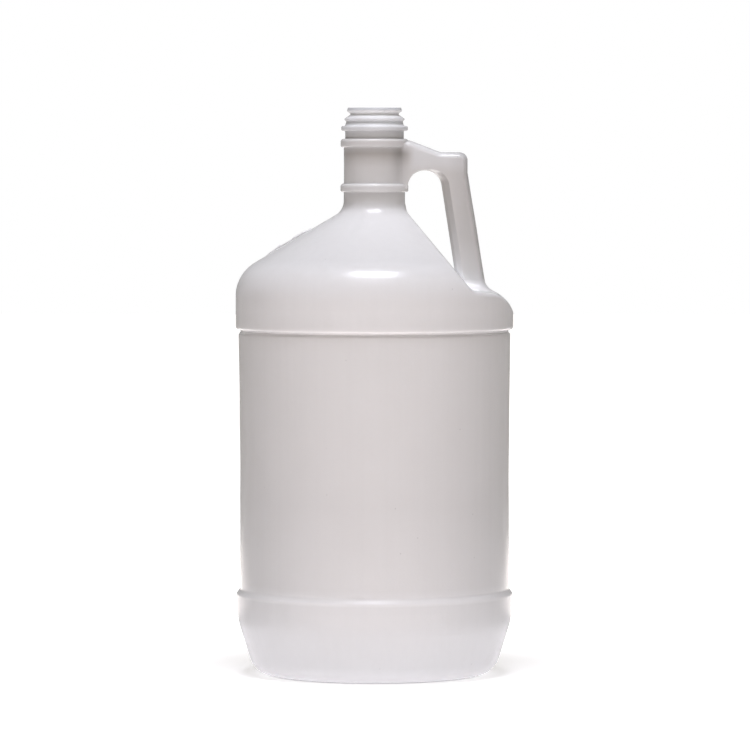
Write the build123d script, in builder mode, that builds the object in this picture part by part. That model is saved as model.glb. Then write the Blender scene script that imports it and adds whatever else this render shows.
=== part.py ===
from build123d import *
from math import atan, cos, radians, sin, sqrt, tan
import os

# Five-litre carboy: one hollow blow-moulded bottle with a hollow handle.
# It stands on z = 0 with its axis on Z; the handle is on +X and the parting plane of the mould is XZ.
# Lengths are in millimetres and slopes in degrees; a lean is the run in X for each unit of height.

# Wall
WALL = 1.2
HANDLE_WALL = 1.8

# Bottle radii, with the depth of each recess below the shoulder band
BODY_RADIUS = 83.3
BASE_DEPTH = 0.4
PANEL_TOP_DEPTH = 1.8
PANEL_BOTTOM_DEPTH = 2.3
WAIST_DEPTH = 3.0
GROOVE_DEPTH = 3.8
NECK_RADIUS = 18.3

# Base: push-up, standing ring, rounded heel and base band
PUSH_UP = 7.0
PUSH_UP_FLANK = 12.0
PUSH_UP_ROUND = 14.0
FOOT_WIDTH = 3.5
FOOT_ROUND = 3.0
HEEL_ROUND = 13.0
HEEL_SLOPE = 17.5
BASE_ROUND = 45.0
BASE_HEIGHT = 48.4
BASE_LAND = 13.35
STEP_HEIGHT = 2.6
STEP_ROUND = 1.8

# Label panel, drawn in a little at its waist, and the groove above it
PANEL_HEIGHT = 153.4
WAIST_RISE = 67.0
WAIST_BLEND = 50.0
PANEL_TOP_ROUND = 1.0
GROOVE_RISE = 1.6
GROOVE_ROUND = 0.8

# Shoulder band and shoulder cone
BAND_HEIGHT = 32.51
BAND_EDGE_ROUND = 1.7
SHOULDER_ROUND = 24.0
SHOULDER_SLOPE = 30.5
NECK_ROOT_ROUND = 9.5

# Neck: two rings, then the push-on finish with three level beads
RING_RADIUS = 20.3
RING_HEIGHT = 5.0
RING_TOP_ROUND = 1.8
RING_BOTTOM_ROUND = 1.0
LOWER_RING_RISE = 10.9
RING_PITCH = 26.8
FINISH_RADIUS = 17.6
STOP_BEAD_RISE = 4.8
STOP_BEAD_HEIGHT = 2.9
STOP_BEAD_RADIUS = 19.95
STOP_BEAD_ROUND = 0.9
SKIRT_BOTTOM_RADIUS = 17.8
SKIRT_TOP_RADIUS = 16.85
SKIRT_HEIGHT = 2.6
SNAP_BEAD_RADIUS = 18.0
SNAP_BEAD_FLANK = 1.0
SNAP_BEAD_LAND = 0.8
SNAP_GROOVE_RADIUS = 14.5
SNAP_GROOVE_FLANK = 2.3
SNAP_GROOVE_LAND = 0.7
TOP_BEAD_RADIUS = 16.5
TOP_BEAD_FLANK = 1.4
BEAD_ROUND = 0.5
RIM_RADIUS = 16.0
RIM_HEIGHT = 2.1
RIM_ROUND = 0.3
BORE_RADIUS = 12.7
THROAT_SHOULDER = 1.2
THROAT_HEIGHT = 5.0

# Flattened side of the shoulder behind the handle, and the low shelf at its foot
FACET_OFFSET = 0.6
FACET_LEAN = 0.83
FACET_TOP_ROUND = 8.0
SHELF_DROP = 12.0
SHELF_SLOPE = 7.0
SHELF_OVERRUN = 0.5
SHELF_RIM_ROUND = 18.0
LIP_ROUND = 3.0
VALLEY_ROUND = 4.5

# Handle outline in the parting plane
WEB_REACH = 2.9
WEB_TOP_DROP = 0.9
WEB_TOP_ROUND = 8.0
WEB_BOTTOM_RISE = 2.1
WEB_OVERLAP = 6.3
BRIDGE_DROP = 7.1
BRIDGE_RUN = 21.2
BRIDGE_ROUND = 6.0
BRIDGE_THICKNESS = 10.9
HANDLE_REACH = 37.5
HANDLE_CORNER_ROUND = 5.0
HANDLE_CORNER_DROP = 12.8
GRIP_WIDTH = 16.7
GRIP_OUTER_LEAN = 0.16
GRIP_OUTER_ROUND = 20.0
GRIP_INNER_LEAN = 0.154
ARCH_OVERLAP = 0.5
ARCH_LAND = 0.7
ARCH_FLAT = 0.15
ARM_SINK = 6.5

# Handle depth to each side of the parting plane, with the draft and bevel reached there
HANDLE_HALF_DEPTH = 10.0
HANDLE_DRAFT = 1.0
GRIP_BEVEL = 4.6
ARCH_BEVEL = 0.5
BEVEL_AT_MIDDLE = 0.35
HANDLE_EDGE_ROUND = 3.0

# Blends of the handle into neck and shelf; the levels of the foot are shares of its rounding
WEB_ROOT_ROUND = 4.0
HANDLE_FOOT_ROUND = 6.5
HANDLE_FOOT_SETBACK = 1.0
HANDLE_FOOT_INNER_CORNER = 6.0
HANDLE_FOOT_OUTER_CORNER = 3.5
HANDLE_FOOT_LEVELS = (1.08, 0.77, 0.46, 0.23, 0.08, -0.15)

# Marks of the mould: pinch-off weld across the push-up, trimmed flash on the shoulder opposite the handle
PINCH_SETBACK = 8.0
PINCH_WIDTH = 1.6
PINCH_HEIGHT = 0.8
FLASH_TOP_RADIUS = 38.0
FLASH_BOTTOM_RADIUS = 67.0
FLASH_RUN_OUT = 5.0
FLASH_HEIGHT = 1.0
FLASH_THICKNESS = 0.8

# Radii that follow, with the corner between heel and base band
BASE_RADIUS = BODY_RADIUS - BASE_DEPTH
PANEL_TOP_RADIUS = BODY_RADIUS - PANEL_TOP_DEPTH
PANEL_BOTTOM_RADIUS = BODY_RADIUS - PANEL_BOTTOM_DEPTH
WAIST_RADIUS = BODY_RADIUS - WAIST_DEPTH
GROOVE_RADIUS = BODY_RADIUS - GROOVE_DEPTH
BASE_CORNER = BASE_HEIGHT - BASE_LAND
HEEL_RADIUS = BASE_RADIUS - BASE_CORNER * tan(radians(HEEL_SLOPE))
HEEL_TANGENT = HEEL_ROUND * tan(radians(90 - HEEL_SLOPE) / 2)
FOOT_TANGENT = FOOT_ROUND * tan(atan(PUSH_UP / PUSH_UP_FLANK) / 2)
FOOT_INNER_RADIUS = HEEL_RADIUS - HEEL_TANGENT - FOOT_WIDTH - FOOT_TANGENT
PUSH_UP_RADIUS = FOOT_INNER_RADIUS - PUSH_UP_FLANK
THROAT_RADIUS = BORE_RADIUS + THROAT_SHOULDER

# Heights that follow, from the floor up
PANEL_BOTTOM = BASE_HEIGHT + STEP_HEIGHT
WAIST = PANEL_BOTTOM + WAIST_RISE
PANEL_TOP = PANEL_BOTTOM + PANEL_HEIGHT
GROOVE = PANEL_TOP + GROOVE_RISE
BAND_BOTTOM = GROOVE + GROOVE_RISE
SHOULDER_CORNER = BAND_BOTTOM + BAND_HEIGHT
NECK_ROOT = SHOULDER_CORNER + (BODY_RADIUS - NECK_RADIUS) * tan(radians(SHOULDER_SLOPE))
LOWER_RING = NECK_ROOT + LOWER_RING_RISE
UPPER_RING = LOWER_RING + RING_PITCH
UPPER_RING_TOP = UPPER_RING + RING_HEIGHT
THROAT = UPPER_RING + RING_HEIGHT / 2
STOP_BEAD = UPPER_RING_TOP + STOP_BEAD_RISE
STOP_BEAD_TOP = STOP_BEAD + STOP_BEAD_HEIGHT
SKIRT_TOP = STOP_BEAD_TOP + SKIRT_HEIGHT
SNAP_BEAD = SKIRT_TOP + SNAP_BEAD_FLANK
SNAP_BEAD_TOP = SNAP_BEAD + SNAP_BEAD_LAND
SNAP_GROOVE = SNAP_BEAD_TOP + SNAP_GROOVE_FLANK
SNAP_GROOVE_TOP = SNAP_GROOVE + SNAP_GROOVE_LAND
TOP_BEAD = SNAP_GROOVE_TOP + TOP_BEAD_FLANK
RIM = TOP_BEAD + RIM_HEIGHT

# Slopes and handle places that follow
WAIST_TURN = (WAIST_DEPTH - PANEL_BOTTOM_DEPTH) / WAIST_RISE
WAIST_TURN += (WAIST_DEPTH - PANEL_TOP_DEPTH) / (PANEL_HEIGHT - WAIST_RISE)
WAIST_ROUND = 2 * WAIST_BLEND / WAIST_TURN
SHELF_FALL = tan(radians(SHELF_SLOPE))
SHELF_RIM = SHOULDER_CORNER - SHELF_DROP
SHELF_CENTRE = SHELF_RIM + BODY_RADIUS * SHELF_FALL
FACET_X = NECK_RADIUS + FACET_OFFSET
FACET_TOP = NECK_ROOT - FACET_OFFSET
VALLEY_X = (FACET_X + (FACET_TOP - SHELF_CENTRE) * FACET_LEAN) / (1 - SHELF_FALL * FACET_LEAN)
SHELF_END = BODY_RADIUS + SHELF_OVERRUN
WEB_TOP = UPPER_RING_TOP - WEB_TOP_DROP
WEB_BOTTOM = LOWER_RING + WEB_BOTTOM_RISE
BRIDGE_TOP = WEB_TOP - BRIDGE_DROP
ARCH_TOP = BRIDGE_TOP - BRIDGE_THICKNESS
ARCH_LEFT = RING_RADIUS - ARCH_OVERLAP
GRIP_TOP = BRIDGE_TOP - HANDLE_CORNER_DROP
GRIP_OUTER_X = NECK_RADIUS + HANDLE_REACH
GRIP_INNER_X = GRIP_OUTER_X - GRIP_WIDTH
FINGER_GAP = GRIP_INNER_X - (ARCH_TOP - GRIP_TOP) * GRIP_INNER_LEAN - ARCH_LEFT
ARCH_NECK_ROUND = ARCH_TOP - WEB_BOTTOM - ARCH_LAND
ARCH_TURN = (radians(90) - atan(GRIP_INNER_LEAN)) / 2
ARCH_GRIP_ROUND = (FINGER_GAP - ARCH_NECK_ROUND - ARCH_FLAT) / tan(ARCH_TURN)
FOOT_AXIS = (GRIP_INNER_X + GRIP_OUTER_X + (GRIP_TOP - SHELF_RIM) * (GRIP_INNER_LEAN + GRIP_OUTER_LEAN)) / 2
SHELF_AT_FOOT = SHELF_CENTRE - FOOT_AXIS * SHELF_FALL
ARM_BOTTOM = SHELF_AT_FOOT - ARM_SINK

# Half section of the plain bottle: radius, height and corner rounding
BOTTLE_SECTION = [
    (0, PUSH_UP, 0),
    (PUSH_UP_RADIUS, PUSH_UP, PUSH_UP_ROUND),
    (FOOT_INNER_RADIUS, 0, FOOT_ROUND),
    (HEEL_RADIUS, 0, HEEL_ROUND),
    (BASE_RADIUS, BASE_CORNER, BASE_ROUND),
    (BASE_RADIUS, BASE_HEIGHT, STEP_ROUND),
    (PANEL_BOTTOM_RADIUS, PANEL_BOTTOM, STEP_ROUND),
    (WAIST_RADIUS, WAIST, WAIST_ROUND),
    (PANEL_TOP_RADIUS, PANEL_TOP, PANEL_TOP_ROUND),
    (GROOVE_RADIUS, GROOVE, GROOVE_ROUND),
    (BODY_RADIUS, BAND_BOTTOM, BAND_EDGE_ROUND),
    (BODY_RADIUS, SHOULDER_CORNER, SHOULDER_ROUND),
    (NECK_RADIUS, NECK_ROOT, NECK_ROOT_ROUND),
    (NECK_RADIUS, THROAT, 0),
    (THROAT_RADIUS, THROAT + THROAT_HEIGHT, 0),
    (0, THROAT + THROAT_HEIGHT, 0),
]

# Half section of the neck finish, from inside the upper ring to the rim
FINISH_SECTION = [
    (0, THROAT, 0),
    (FINISH_RADIUS, THROAT, 0),
    (FINISH_RADIUS, STOP_BEAD, BEAD_ROUND),
    (STOP_BEAD_RADIUS, STOP_BEAD, STOP_BEAD_ROUND),
    (STOP_BEAD_RADIUS, STOP_BEAD_TOP, STOP_BEAD_ROUND),
    (SKIRT_BOTTOM_RADIUS, STOP_BEAD_TOP, BEAD_ROUND),
    (SKIRT_TOP_RADIUS, SKIRT_TOP, BEAD_ROUND),
    (SNAP_BEAD_RADIUS, SNAP_BEAD, BEAD_ROUND),
    (SNAP_BEAD_RADIUS, SNAP_BEAD_TOP, BEAD_ROUND),
    (SNAP_GROOVE_RADIUS, SNAP_GROOVE, BEAD_ROUND),
    (SNAP_GROOVE_RADIUS, SNAP_GROOVE_TOP, BEAD_ROUND),
    (TOP_BEAD_RADIUS, TOP_BEAD, BEAD_ROUND),
    (RIM_RADIUS, RIM, RIM_ROUND),
    (0, RIM, 0),
]


def ring_section(bottom):
    return [
        (0, bottom, 0),
        (RING_RADIUS, bottom, RING_BOTTOM_ROUND),
        (RING_RADIUS, bottom + RING_HEIGHT, RING_TOP_ROUND),
        (0, bottom + RING_HEIGHT, 0),
    ]


def rounded_outline(corners):
    # Closed line through corners given as across, up and corner rounding.
    points = [(across, up) for across, up, rounding in corners]
    FilletPolyline(*points, radius=[rounding for across, up, rounding in corners], close=True)


def shelf_height(across):
    return SHELF_CENTRE - across * SHELF_FALL


def bottle_form(inset):
    # The plain bottle is turned from its section, drawn in by the inset, with its seam at the back.
    with BuildPart() as form:
        with BuildSketch(Plane.YZ):
            with BuildLine():
                rounded_outline(BOTTLE_SECTION)
            make_face()
            if inset:
                mirror(about=Plane.YZ)
                offset(amount=-inset, kind=Kind.INTERSECTION)
                split(bisect_by=Plane.YZ, keep=Keep.TOP)
        revolve(axis=Axis.Z)

        # The recess takes everything beyond the flat facet that stands above the low shelf.
        with BuildSketch(Plane.XZ):
            with BuildLine():
                rounded_outline([
                    (FACET_X, RIM, 0),
                    (FACET_X, FACET_TOP, FACET_TOP_ROUND),
                    (VALLEY_X, shelf_height(VALLEY_X), VALLEY_ROUND),
                    (SHELF_END, shelf_height(SHELF_END), SHELF_RIM_ROUND),
                    (SHELF_END, BAND_BOTTOM, 0),
                    (2 * BODY_RADIUS, BAND_BOTTOM, 0),
                    (2 * BODY_RADIUS, RIM, 0),
                ])
            make_face()
            if inset:
                offset(amount=inset, kind=Kind.INTERSECTION)
        extrude(amount=2 * BODY_RADIUS, both=True, mode=Mode.SUBTRACT)

        # The curved edges that the cut leaves all round are its lip.
        cut_curves = (GeomType.BSPLINE, GeomType.HYPERBOLA)
        lip = [edge for edge in form.edges(Select.LAST) if edge.geom_type in cut_curves]
        fillet(lip, LIP_ROUND - inset)
    return form.part


def shoulder_height(radius):
    return SHOULDER_CORNER + (BODY_RADIUS - radius) * tan(radians(SHOULDER_SLOPE))


def grip_inner(height):
    return GRIP_INNER_X + (GRIP_TOP - height) * GRIP_INNER_LEAN


def grip_outer(height):
    return GRIP_OUTER_X + (GRIP_TOP - height) * GRIP_OUTER_LEAN


def handle_outline(draft, bevel, arch_bevel):
    # Web and arch beside the neck, bridge, corner, grip and the end buried under the shelf.
    arch_top = ARCH_TOP + arch_bevel
    return [
        (NECK_RADIUS - WEB_OVERLAP, WEB_TOP - draft, 0),
        (NECK_RADIUS + WEB_REACH, WEB_TOP - draft, WEB_TOP_ROUND),
        (NECK_RADIUS + BRIDGE_RUN, BRIDGE_TOP - draft, BRIDGE_ROUND),
        (GRIP_OUTER_X - draft, BRIDGE_TOP - draft, HANDLE_CORNER_ROUND),
        (GRIP_OUTER_X - draft, GRIP_TOP, GRIP_OUTER_ROUND),
        (grip_outer(ARM_BOTTOM) - draft, ARM_BOTTOM, 0),
        (grip_inner(ARM_BOTTOM) + bevel, ARM_BOTTOM, 0),
        (grip_inner(arch_top) + bevel, arch_top, ARCH_GRIP_ROUND + arch_bevel),
        (ARCH_LEFT, arch_top, ARCH_NECK_ROUND + arch_bevel),
        (ARCH_LEFT, WEB_BOTTOM, 0),
        (NECK_RADIUS - WEB_OVERLAP, WEB_BOTTOM, 0),
    ]


def handle_form(inset, edge_round):
    # One half between the parting plane and its side face, then its mirror image.
    with BuildPart() as arm:
        for depth_share, bevel_share in ((0, 0), (0.5, BEVEL_AT_MIDDLE), (1, 1)):
            corners = handle_outline(
                HANDLE_DRAFT * depth_share,
                GRIP_BEVEL * bevel_share,
                ARCH_BEVEL * bevel_share,
            )
            with BuildSketch(Plane.XZ.offset((HANDLE_HALF_DEPTH - inset) * depth_share)):
                with BuildLine():
                    rounded_outline(corners)
                make_face()
                if inset:
                    offset(amount=-inset, kind=Kind.INTERSECTION)
        loft(ruled=True)
        if edge_round:
            side = arm.faces().sort_by(Axis.Y)[0]
            outside = []
            for edge in side.edges():
                place = edge.center()
                grip_middle = (grip_inner(place.Z) + GRIP_BEVEL + grip_outer(place.Z)) / 2
                over_arch = place.Z > ARCH_TOP + BRIDGE_THICKNESS / 2
                if over_arch or place.X > grip_middle + HANDLE_DRAFT:
                    outside.append(edge)
            fillet(outside, edge_round)
        mirror(about=Plane.XZ)
    return arm.part


# Hollow of the bottle, the handle and the mouth
with BuildPart() as hollow:
    add(bottle_form(WALL))
    add(handle_form(HANDLE_WALL, 0))
    with BuildSketch(Plane.XY.offset(THROAT)):
        Circle(BORE_RADIUS)
    extrude(amount=RIM - THROAT)

with BuildPart() as carboy_bottle:
    add(bottle_form(0))

    # Neck finish and rings
    for section in (FINISH_SECTION, ring_section(LOWER_RING), ring_section(UPPER_RING)):
        with BuildSketch(Plane.YZ):
            with BuildLine():
                rounded_outline(section)
            make_face()
        revolve(axis=Axis.Z)

    # Pinch-off weld under the push-up
    with BuildSketch(Plane.XY.offset(PUSH_UP - PINCH_HEIGHT)):
        Rectangle(2 * (PUSH_UP_RADIUS - PINCH_SETBACK), PINCH_WIDTH)
    extrude(amount=PINCH_HEIGHT + WALL / 2)

    # Trimmed flash on the parting line of the shoulder
    with BuildSketch(Plane.XZ):
        crest_bottom = FLASH_BOTTOM_RADIUS - FLASH_RUN_OUT
        crest_top = FLASH_TOP_RADIUS + FLASH_RUN_OUT
        Polygon(
            (-FLASH_BOTTOM_RADIUS, shoulder_height(FLASH_BOTTOM_RADIUS) - WALL / 2),
            (-FLASH_TOP_RADIUS, shoulder_height(FLASH_TOP_RADIUS) - WALL / 2),
            (-crest_top, shoulder_height(crest_top) + FLASH_HEIGHT),
            (-crest_bottom, shoulder_height(crest_bottom) + FLASH_HEIGHT),
            align=None,
        )
    extrude(amount=FLASH_THICKNESS / 2, both=True)

    # Web root: the neck flows into the two side faces of the web between the rings
    with BuildSketch(Plane.XY.offset(LOWER_RING + RING_HEIGHT / 2)) as web_root:
        Circle(NECK_RADIUS)
        Rectangle(NECK_RADIUS + FACET_OFFSET, 2 * HANDLE_HALF_DEPTH, align=(Align.MIN, Align.CENTER))
        fillet([corner for corner in web_root.vertices() if corner.X < NECK_RADIUS], WEB_ROOT_ROUND)
    extrude(amount=RING_PITCH)

    # Arm of the handle
    add(handle_form(0, HANDLE_EDGE_ROUND))

    # Foot of the handle: sections parallel to the shelf that spread as they come down to it
    shelf_angle = radians(SHELF_SLOPE)
    for share in HANDLE_FOOT_LEVELS:
        rise = HANDLE_FOOT_ROUND * share
        if share > 1:
            spread = HANDLE_FOOT_ROUND * (1 - share) / 2
        elif share < 0:
            spread = HANDLE_FOOT_ROUND * (1 - share)
        else:
            spread = HANDLE_FOOT_ROUND * (1 - sqrt(1 - (1 - share) ** 2))
        height = SHELF_AT_FOOT + rise
        inner = grip_inner(height) + HANDLE_FOOT_SETBACK - spread - FOOT_AXIS
        outer = grip_outer(height) + spread - FOOT_AXIS
        side = HANDLE_HALF_DEPTH + spread
        foot_plane = Plane(
            origin=(FOOT_AXIS, 0, height),
            x_dir=(cos(shelf_angle), 0, -sin(shelf_angle)),
            z_dir=(sin(shelf_angle), 0, cos(shelf_angle)),
        )
        with BuildSketch(foot_plane):
            with BuildLine():
                rounded_outline([
                    (inner, -side, HANDLE_FOOT_INNER_CORNER + spread),
                    (outer, -side, HANDLE_FOOT_OUTER_CORNER + spread),
                    (outer, side, HANDLE_FOOT_OUTER_CORNER + spread),
                    (inner, side, HANDLE_FOOT_INNER_CORNER + spread),
                ])
            make_face()
    loft()

    add(hollow.part, mode=Mode.SUBTRACT)

carboy_bottle.part.label = "carboy_bottle"
os.makedirs("parts", exist_ok=True)
export_step(carboy_bottle.part, "parts/carboy_bottle.step")
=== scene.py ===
import math

import bmesh
import bpy
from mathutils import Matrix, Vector


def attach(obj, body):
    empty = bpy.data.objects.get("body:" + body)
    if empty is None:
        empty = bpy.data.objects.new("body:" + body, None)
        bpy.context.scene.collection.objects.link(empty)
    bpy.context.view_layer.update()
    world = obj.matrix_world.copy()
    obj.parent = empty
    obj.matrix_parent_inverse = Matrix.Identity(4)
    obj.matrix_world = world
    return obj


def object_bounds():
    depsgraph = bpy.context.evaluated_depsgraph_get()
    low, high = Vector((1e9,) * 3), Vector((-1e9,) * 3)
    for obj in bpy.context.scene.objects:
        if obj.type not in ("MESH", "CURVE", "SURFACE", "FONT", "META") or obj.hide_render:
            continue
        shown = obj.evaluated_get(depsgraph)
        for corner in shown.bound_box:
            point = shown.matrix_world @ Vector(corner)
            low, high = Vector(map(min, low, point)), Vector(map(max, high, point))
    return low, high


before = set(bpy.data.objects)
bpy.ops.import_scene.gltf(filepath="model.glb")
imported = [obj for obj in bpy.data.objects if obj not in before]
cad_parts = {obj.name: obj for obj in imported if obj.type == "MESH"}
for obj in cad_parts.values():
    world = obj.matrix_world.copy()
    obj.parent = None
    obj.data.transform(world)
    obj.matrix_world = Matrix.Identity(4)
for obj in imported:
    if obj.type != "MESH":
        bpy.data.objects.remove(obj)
cad_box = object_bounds()
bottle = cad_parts["carboy_bottle"]
scene = bpy.context.scene

# Lengths are in metres. The bottle, its shoulder cone and the leaning flat behind its handle
BOTTLE_TOP = 0.34
BODY_RADIUS = 0.0833
SHOULDER_CORNER = 0.24011
SHOULDER_SLOPE = math.radians(30.5)
FACET_TOP = 0.2778
FACET_X = 0.0189
FACET_LEAN = 0.83
FACET_BLEND = 0.006

# The handle: where its tones change at its foot, and where painted shade goes on the outside of its grip
# and at the root of its web on the neck
HANDLE_FOOT = 0.224
HANDLE_FOOT_BLEND = 0.012
GRIP_X = 0.0558
GRIP_TOP = 0.3003
GRIP_LEAN = 0.16
# Painted shade along the outer edge of the grip: how wide it is and how dark it gets
GRIP_EDGE_WIDTH = 0.011
GRIP_EDGE_PAINTED_SHADE = 0.82
WEB_ROOT_X = 0.0155
WEB_ROOT_BOTTOM = 0.292
WEB_ROOT_TOP = 0.313
WEB_ROOT_HALF_WIDTH = 0.007
WEB_ROOT_SHADE = 0.24
UPPER_RING = 0.3165

# Parting line of the mould, a low ridge that comes and goes
SEAM_BOTTOM = 0.004
SEAM_TOP = 0.3155
SEAM_RIGHT_TOP = 0.3
SEAM_STEPS = 400
SEAM_HALF_WIDTH = 0.0004
SEAM_PROUD = 0.0002
SEAM_ROOT = 0.0003
SEAM_WAVE = 0.11
CREST_SHARE = 1 / 3
RAY_START = 0.2

# Torn bits of flash on the parting line: name, radii and rises above the shoulder
FLASH_HALF_WIDTH = 0.0003
FLASH_ROOT = 0.0004
TORN_FLASH = [
    (
        "flash_tear",
        (0.0375, 0.0385, 0.0400, 0.0412, 0.0424, 0.0437, 0.0449, 0.0462, 0.0474, 0.0487, 0.0500),
        (0.0001, 0.0009, 0.0006, 0.0014, 0.0012, 0.0018, 0.0013, 0.0019, 0.0014, 0.0017, 0.0008),
    ),
    (
        "flash_hook",
        (0.0560, 0.0568, 0.0576, 0.0585, 0.0597, 0.0610),
        (0.0010, 0.0019, 0.0022, 0.0013, 0.0012, 0.0008),
    ),
]

# Nib of flash on the left of the heel: points on the wall and on its ragged edge
NIB_HALF_WIDTH = 0.0006
HEEL_NIB = [
    ((-0.0655, 0.0012), (-0.0668, 0.0002)),
    ((-0.0668, 0.0016), (-0.0684, 0.0004)),
    ((-0.0679, 0.0024), (-0.0694, 0.0015)),
    ((-0.0688, 0.0032), (-0.0697, 0.0027)),
]

# Plastic: tone and warmth by height with painted light in it: painted shade where the wall is thick as in
# the neck, a painted shadow of the upper ring on the neck, painted highlights along the base step and on
# the beads of the finish, and a lighter painted band on the shoulder
HEIGHT_TONES_AND_PAINTED_LIGHT = [
    (0.000, 0.81, 0.00),
    (0.0465, 0.82, 0.00),
    (0.0488, 0.97, 0.00),
    (0.0505, 0.97, 0.00),
    (0.0525, 0.82, 0.00),
    (0.056, 0.765, 0.01),
    (0.105, 0.73, 0.01),
    (0.190, 0.82, 0.01),
    (0.207, 0.87, 0.01),
    (0.219, 0.97, 0.01),
    (0.228, 0.98, 0.00),
    (0.239, 0.98, 0.00),
    (0.249, 0.83, 0.00),
    (0.272, 0.89, 0.00),
    (0.285, 0.84, 0.02),
    (0.292, 0.745, 0.01),
    (0.296, 0.72, 0.03),
    (0.304, 0.70, 0.04),
    (0.312, 0.54, 0.08),
    (0.316, 0.68, 0.01),
    (0.3205, 0.68, 0.04),
    (0.3228, 0.77, 0.00),
    (0.325, 0.68, -0.03),
    (0.328, 0.68, -0.03),
    (0.3295, 0.91, -0.02),
    (0.331, 0.73, -0.03),
    (0.3335, 0.72, -0.03),
    (0.335, 0.92, -0.01),
    (0.3372, 0.90, -0.02),
    (0.3385, 0.61, -0.05),
]
# Tone by height on the handle, darker with painted shade where its thick wall lets less light through
HANDLE_TONES_AND_PAINTED_SHADE = [
    (0.232, 0.91, 0.00),
    (0.244, 0.80, 0.03),
    (0.262, 0.715, 0.045),
    (0.300, 0.685, 0.045),
    (0.306, 0.755, 0.01),
    (0.311, 0.76, 0.00),
]
# Painted light on the thin flash, lighter for the light that comes through it
FLASH_PAINTED_GLOW = 0.98
FLASH_STAND_OFF = (0.0001, 0.0004)
FLASH_LEFT_OF = (-0.035, -0.037)
BOTTLE_GLOW = 0.8
GLOW_DEPTH = 0.003
PLASTIC_IOR = 1.5
ROUGHNESS = (0.20, 0.26)
EDGE_ROUND = 0.0012
DIE_LINE_STRETCH = 0.02
DIE_LINE_SCALE = 220.0
CLOUD_SCALE = 26.0
VEIL = (0.985, 1.015)
SPECK_SCALE = 70.0
SPECK_SIZE = (0.015, 0.04)
SPECK_TONE = 0.82
PEEL_SCALE = 700.0
BUMP_STRENGTH = 0.05
BUMP_DISTANCE = 0.001

# Floor and world: how bright each is to the camera and in reflections, and the fill
FLOOR_SIZE = 14
PAPER = 0.86
FLOOR_FADE = (0.08, 0.5)
FLOOR_LIFT = (0.45, 1.0)
FLOOR_REFLECTED = 0.26
FILL_COLOUR = (1.0, 0.906, 0.79, 1)
FILL_FROM_SIDE = 0.2
FILL_STRENGTH = (0.31, 0.07)
BACK_DIRECTION = 0.8
BACK_REFLECTED = (0.27, 0.5)

# Lights: name, place, aim, size, power in watts and colour; those on the floor shine straight up
CENTRE = (0, 0, 0.17)
LIGHTS = [
    ("overhead_softbox", (-0.012, -0.34, 1.43), CENTRE, (0.55, 0.45), 12.6, (0.908, 0.912, 1.0)),
    ("front_softbox", (0, -0.803, 1.317), CENTRE, (0.6, 0.5), 1.4, (0.95, 0.95, 1.0)),
    ("floor_bounce_front", (-0.04, -0.5, 0.0001), (-0.04, -0.5, 1), (1.0, 0.7), 2.53, (1.0, 0.885, 0.875)),
    ("floor_bounce_back", (0, 0.6, 0.0001), (0, 0.6, 1), (1.0, 0.7), 3.2, (1.0, 0.93, 0.9)),
    ("floor_bounce_near", (0, 0, 0.0001), (0, 0, 1), (0.3, 0.3), 0.15, (0.97, 0.94, 1)),
]

# Camera: a long lens, a little above the handle
CAMERA_HEIGHT = 0.308
CAMERA_DISTANCE = 3.0
CAMERA_SIDE = 0.0003
CAMERA_REACH = 50
AIM_HEIGHT = 0.1794
PICTURE_WIDTH = 0.45
SENSOR_WIDTH = 36.0


def shoulder_height(radius):
    return SHOULDER_CORNER + (BODY_RADIUS - radius) * math.tan(SHOULDER_SLOPE)


def new_material(name):
    material = bpy.data.materials.new(name)
    material.use_nodes = True
    tree = material.node_tree
    tree.nodes.clear()
    output = tree.nodes.new("ShaderNodeOutputMaterial")
    return material, tree, output


def math_node(tree, operation, first, second):
    # A math node whose inputs are outputs of other nodes or plain numbers.
    node = tree.nodes.new("ShaderNodeMath")
    node.operation = operation
    for socket, value in zip(node.inputs, (first, second)):
        if isinstance(value, (int, float)):
            socket.default_value = value
        else:
            tree.links.new(value, socket)
    return node.outputs["Value"]


def map_range(tree, value, start, end, low=0.0, high=1.0, smooth=False):
    node = tree.nodes.new("ShaderNodeMapRange")
    if smooth:
        node.interpolation_type = "SMOOTHSTEP"
    for socket, number in (("From Min", start), ("From Max", end), ("To Min", low), ("To Max", high)):
        node.inputs[socket].default_value = number
    tree.links.new(value, node.inputs["Value"])
    return node.outputs["Result"]


def noise(tree, place, scale, detail):
    node = tree.nodes.new("ShaderNodeTexNoise")
    node.inputs["Scale"].default_value = scale
    node.inputs["Detail"].default_value = detail
    tree.links.new(place, node.inputs["Vector"])
    return node.outputs["Fac"]


def bump(tree, height, normal):
    node = tree.nodes.new("ShaderNodeBump")
    node.inputs["Strength"].default_value = BUMP_STRENGTH
    node.inputs["Distance"].default_value = BUMP_DISTANCE
    tree.links.new(height, node.inputs["Height"])
    tree.links.new(normal, node.inputs["Normal"])
    return node.outputs["Normal"]


def tone_ramp(tree, share, tones):
    node = tree.nodes.new("ShaderNodeValToRGB")
    ramp = node.color_ramp
    while len(ramp.elements) < len(tones):
        ramp.elements.new(0.5)
    for element, (height, value, warmth) in zip(ramp.elements, tones):
        element.position = height / BOTTLE_TOP
        element.color = (value, value * (1 - warmth / 2), value * (1 - warmth), 1)
    tree.links.new(share, node.inputs["Fac"])
    return node.outputs["Color"]


def mix_colours(tree, share, first, second):
    # Second is a colour, or the output of another node.
    node = tree.nodes.new("ShaderNodeMix")
    node.data_type = "RGBA"
    tree.links.new(share, node.inputs["Factor"])
    tree.links.new(first, node.inputs["A"])
    if isinstance(second, tuple):
        node.inputs["B"].default_value = second
    else:
        tree.links.new(second, node.inputs["B"])
    return node.outputs["Result"]


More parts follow.
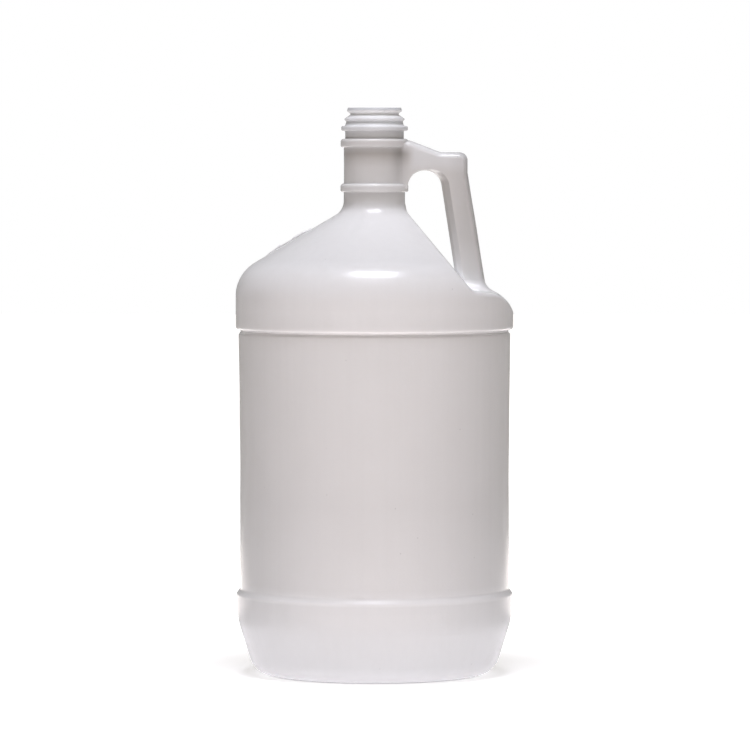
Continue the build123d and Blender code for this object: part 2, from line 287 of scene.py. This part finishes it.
def handle_mask(tree, x, z):
    # The handle lies beyond the flat of the shoulder and above the shelf.
    down_facet = math_node(tree, "MAXIMUM", math_node(tree, "SUBTRACT", FACET_TOP, z), 0)
    facet_run = math_node(tree, "MULTIPLY", down_facet, FACET_LEAN)
    past_neck = math_node(tree, "SUBTRACT", x, FACET_X)
    past_facet = math_node(tree, "SUBTRACT", past_neck, facet_run)
    outside = map_range(tree, past_facet, 0, FACET_BLEND, smooth=True)
    above_foot = map_range(tree, z, HANDLE_FOOT, HANDLE_FOOT + HANDLE_FOOT_BLEND, smooth=True)
    return math_node(tree, "MULTIPLY", outside, above_foot)


def grip_edge_painted_shade(tree, x, z, handle):
    # Painted shade along the outside of the grip, at the parting line, where its rounded edge turns from
    # the light; the handle is also thickest there.
    grip_run = math_node(tree, "MULTIPLY", math_node(tree, "SUBTRACT", GRIP_TOP, z), GRIP_LEAN)
    past_corner = math_node(tree, "SUBTRACT", x, GRIP_X)
    past_grip = math_node(tree, "SUBTRACT", past_corner, grip_run)
    edge = map_range(tree, past_grip, -GRIP_EDGE_WIDTH, 0, 1, GRIP_EDGE_PAINTED_SHADE)
    blend = tree.nodes.new("ShaderNodeMix")
    blend.inputs["A"].default_value = 1.0
    tree.links.new(handle, blend.inputs["Factor"])
    tree.links.new(edge, blend.inputs["B"])
    return blend.outputs["Result"]


def web_root_painted_shade(tree, x, z):
    # Painted shade in the crease where the web of the handle leaves the neck, darkest just under the upper
    # ring; the wall is also thickest there.
    from_root = math_node(tree, "ABSOLUTE", math_node(tree, "SUBTRACT", x, WEB_ROOT_X), 0)
    across = map_range(tree, from_root, 0, WEB_ROOT_HALF_WIDTH, 1, 0, smooth=True)
    up_neck = map_range(tree, z, WEB_ROOT_BOTTOM, WEB_ROOT_TOP, 0, WEB_ROOT_SHADE)
    under_ring = map_range(tree, z, WEB_ROOT_TOP, UPPER_RING, 1, 0)
    depth = math_node(tree, "MULTIPLY", math_node(tree, "MULTIPLY", across, up_neck), under_ring)
    return math_node(tree, "SUBTRACT", 1, depth)


def flash_mask(tree, x, z):
    # Thin flash stands off the left of the shoulder cone.
    run = math_node(tree, "MULTIPLY", x, math.tan(SHOULDER_SLOPE))
    above_slope = math_node(tree, "SUBTRACT", z, run)
    cone_tip = shoulder_height(0)
    proud = map_range(tree, above_slope, cone_tip + FLASH_STAND_OFF[0], cone_tip + FLASH_STAND_OFF[1])
    off_neck = map_range(tree, x, *FLASH_LEFT_OF)
    return math_node(tree, "MULTIPLY", proud, off_neck)


def natural_hdpe(name, glow):
    # Milky plastic; glow is the share of light that scatters in it.
    material, tree, output = new_material(name)
    shader = tree.nodes.new("ShaderNodeBsdfPrincipled")
    tree.links.new(shader.outputs["BSDF"], output.inputs["Surface"])
    place = tree.nodes.new("ShaderNodeTexCoord").outputs["Object"]
    axes = tree.nodes.new("ShaderNodeSeparateXYZ")
    tree.links.new(place, axes.inputs["Vector"])
    x, z = axes.outputs["X"], axes.outputs["Z"]

    # Tone by height with painted light and shade in it, other tones with painted shade on the handle, which
    # is thick walled, and painted light on the flash, which is thin and lets light through
    share = math_node(tree, "DIVIDE", z, BOTTLE_TOP)
    handle = handle_mask(tree, x, z)
    tone = mix_colours(tree, handle, tone_ramp(tree, share, HEIGHT_TONES_AND_PAINTED_LIGHT), tone_ramp(tree, share, HANDLE_TONES_AND_PAINTED_SHADE))
    tone = mix_colours(tree, flash_mask(tree, x, z), tone, (FLASH_PAINTED_GLOW, FLASH_PAINTED_GLOW, FLASH_PAINTED_GLOW, 1))

    # Die lines down the wall, soft clouds in it and a few dark specks
    stretch = tree.nodes.new("ShaderNodeMapping")
    stretch.inputs["Scale"].default_value = (1, 1, DIE_LINE_STRETCH)
    tree.links.new(place, stretch.inputs["Vector"])
    lines = noise(tree, stretch.outputs["Vector"], DIE_LINE_SCALE, 3.0)
    clouds = noise(tree, place, CLOUD_SCALE, 4.0)
    veil = map_range(tree, math_node(tree, "ADD", lines, clouds), 0.6, 1.4, *VEIL)
    grains = tree.nodes.new("ShaderNodeTexVoronoi")
    grains.inputs["Scale"].default_value = SPECK_SCALE
    tree.links.new(place, grains.inputs["Vector"])
    specks = map_range(tree, grains.outputs["Distance"], *SPECK_SIZE, SPECK_TONE, 1)
    shade = math_node(tree, "MULTIPLY", veil, specks)
    # Painted shade in the crease at the root of the web and along the outside of the grip
    shade = math_node(tree, "MULTIPLY", shade, web_root_painted_shade(tree, x, z))
    shade = math_node(tree, "MULTIPLY", shade, grip_edge_painted_shade(tree, x, z, handle))
    colour = tree.nodes.new("ShaderNodeVectorMath")
    colour.operation = "SCALE"
    tree.links.new(tone, colour.inputs[0])
    tree.links.new(shade, colour.inputs["Scale"])
    tree.links.new(colour.outputs["Vector"], shader.inputs["Base Color"])

    # Gloss, softened edges, die lines and a fine orange peel
    tree.links.new(map_range(tree, clouds, 0.3, 0.7, *ROUGHNESS), shader.inputs["Roughness"])
    edges = tree.nodes.new("ShaderNodeBevel")
    edges.samples = 4
    edges.inputs["Radius"].default_value = EDGE_ROUND
    relief = bump(tree, lines, edges.outputs["Normal"])
    relief = bump(tree, noise(tree, place, PEEL_SCALE, 1.0), relief)
    tree.links.new(relief, shader.inputs["Normal"])
    shader.inputs["IOR"].default_value = PLASTIC_IOR
    shader.inputs["Subsurface Weight"].default_value = glow
    shader.inputs["Subsurface Radius"].default_value = (1.0, 1.0, 1.0)
    shader.inputs["Subsurface Scale"].default_value = GLOW_DEPTH
    return material


def add_piece(name, stations, material):
    # A closed strip: each station is a ring of four corners, and the ends are capped.
    shape = bmesh.new()
    rings = [[shape.verts.new(corner) for corner in station] for station in stations]
    for ring, after in zip(rings, rings[1:]):
        for first in range(4):
            second = (first + 1) % 4
            shape.faces.new((ring[first], ring[second], after[second], after[first]))
    shape.faces.new(rings[0][::-1])
    shape.faces.new(rings[-1])
    bmesh.ops.recalc_face_normals(shape, faces=shape.faces)
    mesh = bpy.data.meshes.new(name)
    shape.to_mesh(mesh)
    shape.free()
    piece = bpy.data.objects.new(name, mesh)
    scene.collection.objects.link(piece)
    mesh.materials.append(material)
    for face in mesh.polygons:
        face.use_smooth = True
    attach(piece, "root")


def add_ridge(name, stations, half_width, material):
    # A thin ridge in the parting plane, from points on its root and on its narrower crest.
    crest_half_width = half_width * CREST_SHARE
    corners = []
    for (root_x, root_z), (crest_x, crest_z) in stations:
        corners.append([
            (root_x, -half_width, root_z),
            (crest_x, -crest_half_width, crest_z),
            (crest_x, crest_half_width, crest_z),
            (root_x, half_width, root_z),
        ])
    add_piece(name, corners, material)


def surface_x(side, height):
    # Outside of the bottle in the parting plane, on the left (-1) or the right (1).
    found, place, normal, face = bottle.ray_cast((side * RAY_START, 0, height), (-side, 0, 0))
    return place.x


def add_seam(name, side, top, material):
    # The parting line follows the outside of the bottle and stays in the box of the solid.
    limit = side * cad_box[0 if side < 0 else 1].x
    stations = []
    for count in range(SEAM_STEPS + 1):
        height = SEAM_BOTTOM + (top - SEAM_BOTTOM) * count / SEAM_STEPS
        edge = side * surface_x(side, height)
        proud = SEAM_PROUD * (0.6 + 0.3 * math.sin(SEAM_WAVE * count))
        crest = min(edge + proud, limit)
        stations.append(((side * (edge - SEAM_ROOT), height), (side * crest, height)))
    add_ridge(name, stations, SEAM_HALF_WIDTH, material)


def add_mould_marks():
    material = natural_hdpe("seam_hdpe", 0.0)
    for name, radii, rises in TORN_FLASH:
        stations = []
        for radius, rise in zip(radii, rises):
            surface = shoulder_height(radius)
            stations.append(((-radius, surface - FLASH_ROOT), (-radius, surface + rise)))
        add_ridge(name, stations, FLASH_HALF_WIDTH, material)
    add_ridge("heel_nib", HEEL_NIB, NIB_HALF_WIDTH, material)
    add_seam("seam_left", -1, SEAM_TOP, material)
    add_seam("seam_right", 1, SEAM_RIGHT_TOP, material)


def white_floor():
    # White paper that the camera and reflections see brighter than its light, more so away from the bottle.
    material, tree, output = new_material("white_paper")
    paper = tree.nodes.new("ShaderNodeBsdfDiffuse")
    paper.inputs["Color"].default_value = (PAPER, PAPER, PAPER, 1)
    lift = tree.nodes.new("ShaderNodeEmission")
    coordinates = tree.nodes.new("ShaderNodeTexCoord")
    length = tree.nodes.new("ShaderNodeVectorMath")
    length.operation = "LENGTH"
    tree.links.new(coordinates.outputs["Object"], length.inputs[0])
    fade = map_range(tree, length.outputs["Value"], *FLOOR_FADE, *FLOOR_LIFT)
    path = tree.nodes.new("ShaderNodeLightPath")
    reflected = math_node(tree, "MULTIPLY", path.outputs["Is Glossy Ray"], FLOOR_REFLECTED)
    seen = math_node(tree, "ADD", path.outputs["Is Camera Ray"], reflected)
    tree.links.new(math_node(tree, "MULTIPLY", fade, seen), lift.inputs["Strength"])
    both = tree.nodes.new("ShaderNodeAddShader")
    tree.links.new(paper.outputs["BSDF"], both.inputs[0])
    tree.links.new(lift.outputs["Emission"], both.inputs[1])
    tree.links.new(both.outputs["Shader"], output.inputs["Surface"])
    return material


def add_floor():
    bpy.ops.mesh.primitive_plane_add(size=FLOOR_SIZE)
    floor = bpy.context.object
    floor.name = "floor"
    floor.data.materials.append(white_floor())


def mix_shaders(tree, share, first, second):
    node = tree.nodes.new("ShaderNodeMixShader")
    for socket, source in zip(node.inputs, (share, first, second)):
        tree.links.new(source, socket)
    return node.outputs["Shader"]


def add_world():
    # White to the camera, pale from behind in reflections, and a low warm fill that is darker at the sides.
    world = bpy.data.worlds.new("studio")
    scene.world = world
    world.use_nodes = True
    tree = world.node_tree
    tree.nodes.clear()
    output = tree.nodes.new("ShaderNodeOutputWorld")
    fill, backdrop, reflected = [tree.nodes.new("ShaderNodeBackground") for count in range(3)]
    fill.inputs["Color"].default_value = FILL_COLOUR
    backdrop.inputs["Color"].default_value = (1, 1, 1, 1)
    backdrop.inputs["Strength"].default_value = 1.0
    coordinates = tree.nodes.new("ShaderNodeTexCoord")
    direction = tree.nodes.new("ShaderNodeSeparateXYZ")
    tree.links.new(coordinates.outputs["Generated"], direction.inputs["Vector"])
    sideways = math_node(tree, "ABSOLUTE", direction.outputs["X"], 0)
    flags = map_range(tree, sideways, FILL_FROM_SIDE, 1, *FILL_STRENGTH)
    tree.links.new(flags, fill.inputs["Strength"])
    behind = map_range(tree, direction.outputs["Y"], 0, BACK_DIRECTION, *BACK_REFLECTED)
    tree.links.new(behind, reflected.inputs["Strength"])
    path = tree.nodes.new("ShaderNodeLightPath")
    lit = mix_shaders(
        tree, path.outputs["Is Glossy Ray"], fill.outputs["Background"], reflected.outputs["Background"]
    )
    seen = mix_shaders(tree, path.outputs["Is Camera Ray"], lit, backdrop.outputs["Background"])
    tree.links.new(seen, output.inputs["Surface"])


def add_lights():
    for name, place, aim, size, power, colour in LIGHTS:
        data = bpy.data.lights.new(name, "AREA")
        data.shape = "RECTANGLE"
        data.size, data.size_y = size
        data.energy = power
        data.color = colour
        light = bpy.data.objects.new(name, data)
        scene.collection.objects.link(light)
        light.location = place
        light.rotation_euler = (Vector(aim) - Vector(place)).to_track_quat("-Z", "Y").to_euler()
        light.visible_camera = False


def add_camera():
    data = bpy.data.cameras.new("camera")
    data.sensor_width = SENSOR_WIDTH
    data.lens = SENSOR_WIDTH * CAMERA_DISTANCE / PICTURE_WIDTH
    data.clip_end = CAMERA_REACH
    camera = bpy.data.objects.new("camera", data)
    scene.collection.objects.link(camera)
    camera.location = (CAMERA_SIDE, -CAMERA_DISTANCE, CAMERA_HEIGHT)
    aim = Vector((CAMERA_SIDE, 0, AIM_HEIGHT))
    camera.rotation_euler = (aim - camera.location).to_track_quat("-Z", "Y").to_euler()
    scene.camera = camera


scene.view_settings.view_transform = "Standard"
bottle.data.materials.clear()
bottle.data.materials.append(natural_hdpe("milky_hdpe", BOTTLE_GLOW))
add_mould_marks()
add_floor()
add_world()
add_lights()
add_camera()
